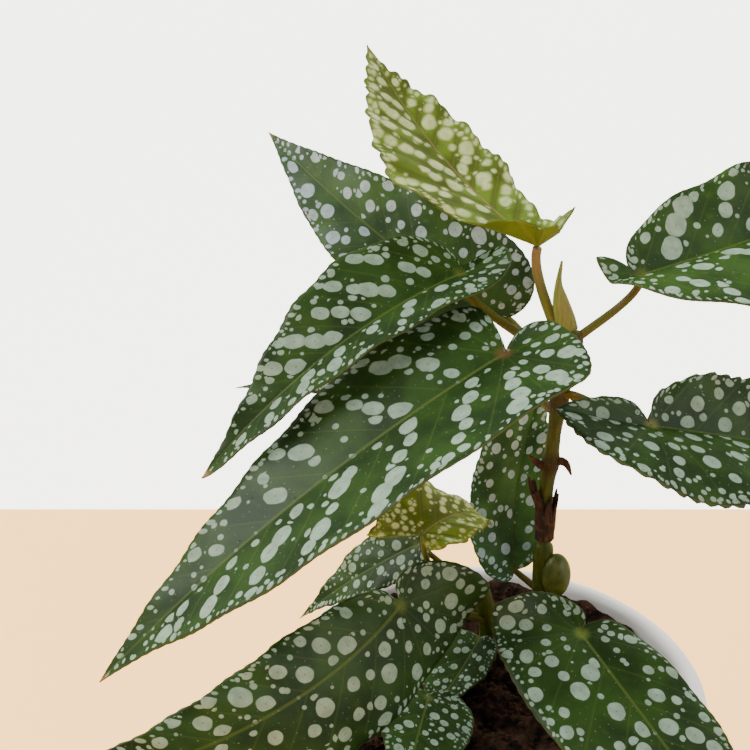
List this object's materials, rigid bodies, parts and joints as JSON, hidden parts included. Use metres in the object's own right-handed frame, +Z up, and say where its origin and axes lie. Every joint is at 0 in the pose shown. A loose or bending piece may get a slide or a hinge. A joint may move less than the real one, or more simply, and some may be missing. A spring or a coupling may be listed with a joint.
{
  "type": "potted begonia",
  "caption": "Potted foliage plant: upright cane stem, long-stalked wing-shaped dark green leaves with silver spots, young yellow-green leaves, in a plain white tapered pot of soil",
  "frame": {"origin": "centre of the underside of the pot, on the surface that it rests on", "axes": "+Z up along the pot's axis; the pictured view looks along +Y, with +X to its right"},
  "size_m": [0.2784, 0.1909, 0.302],
  "materials": {
    "pot_glaze": "smooth white glazed ceramic, satin gloss",
    "potting_soil": "dark brown crumbly potting soil",
    "cane_skin": "green stem skin with a faint sheen",
    "stalk_skin": "olive to reddish leaf stalk",
    "mature_leaf": "satin dark green leaf with silver spots",
    "young_leaf": "thin yellow-green young leaf with pale spots",
    "papery_stipule": "thin papery yellow-green sheath",
    "dried_stipule": "dry brown papery scale"
  },
  "bodies": {
    "root": {"blade_back_left": "mature_leaf", "blade_front": "mature_leaf", "blade_hidden": "mature_leaf", "blade_low_left": "mature_leaf", "blade_low_rear": "mature_leaf", "blade_low_right": "mature_leaf", "blade_low_small_a": "mature_leaf", "blade_low_small_b": "mature_leaf", "blade_rear": "mature_leaf", "blade_right_middle": "mature_leaf", "blade_right_top": "mature_leaf", "blade_small_young": "young_leaf", "blade_top_young": "young_leaf", "blade_upper_left": "mature_leaf", "cane_main": "cane_skin", "cane_side": "cane_skin", "pot": "pot_glaze", "soil": "potting_soil", "stalk_back_left": "stalk_skin", "stalk_front": "stalk_skin", "stalk_hidden": "stalk_skin", "stalk_low_left": "stalk_skin", "stalk_low_rear": "stalk_skin", "stalk_low_right": "stalk_skin", "stalk_low_small_a": "stalk_skin", "stalk_low_small_b": "stalk_skin", "stalk_rear": "stalk_skin", "stalk_right_middle": "stalk_skin", "stalk_right_top": "stalk_skin", "stalk_small_young": "stalk_skin", "stalk_top_young": "stalk_skin", "stalk_upper_left": "stalk_skin", "stipule_dried_left": "dried_stipule", "stipule_dried_right": "dried_stipule", "stipule_dried_upper": "dried_stipule", "stipule_papery": "papery_stipule", "stipule_sleeve": "dried_stipule"}
  },
  "joints": []
}
